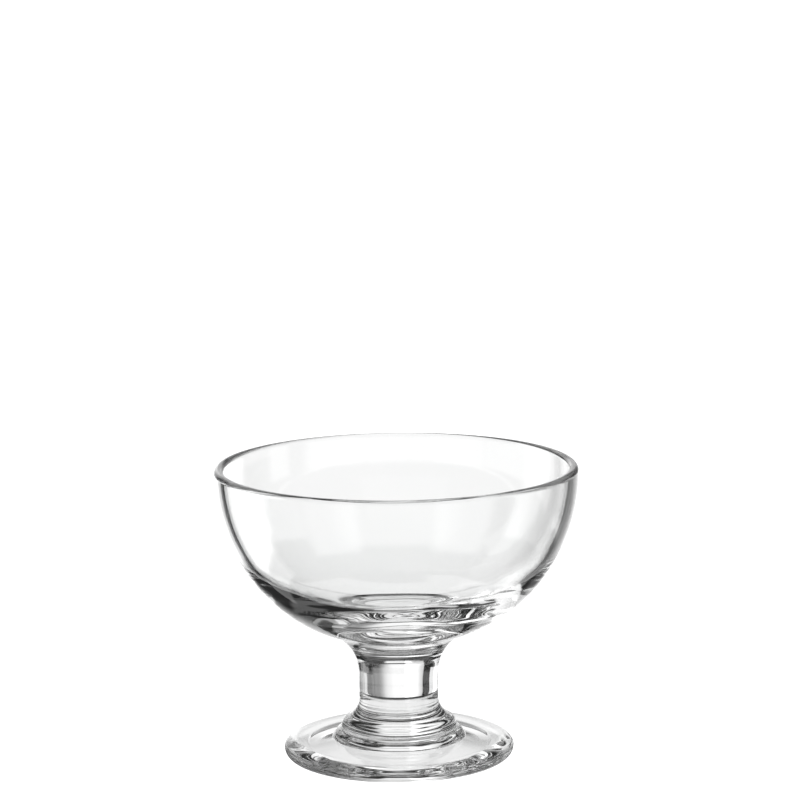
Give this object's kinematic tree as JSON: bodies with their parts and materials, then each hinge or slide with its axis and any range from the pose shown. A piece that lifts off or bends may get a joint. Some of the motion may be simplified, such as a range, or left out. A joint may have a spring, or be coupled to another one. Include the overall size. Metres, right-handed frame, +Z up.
{
  "type": "footed glass bowl",
  "caption": "Round clear glass bowl on a short solid stem and a thick round foot, for ice cream, fruit or other desserts.",
  "frame": {"origin": "on the table, under the middle of the foot", "axes": "+Z up along the axis that the bowl, the stem and the foot share; X and Y are alike, because the part is round"},
  "size_m": [0.1, 0.1, 0.0814],
  "materials": {
    "clear_glass": "clear pressed soda-lime glass, fire-polished"
  },
  "bodies": {
    "root": {"bowl": "clear_glass", "stem": "clear_glass", "foot": "clear_glass"}
  },
  "joints": []
}
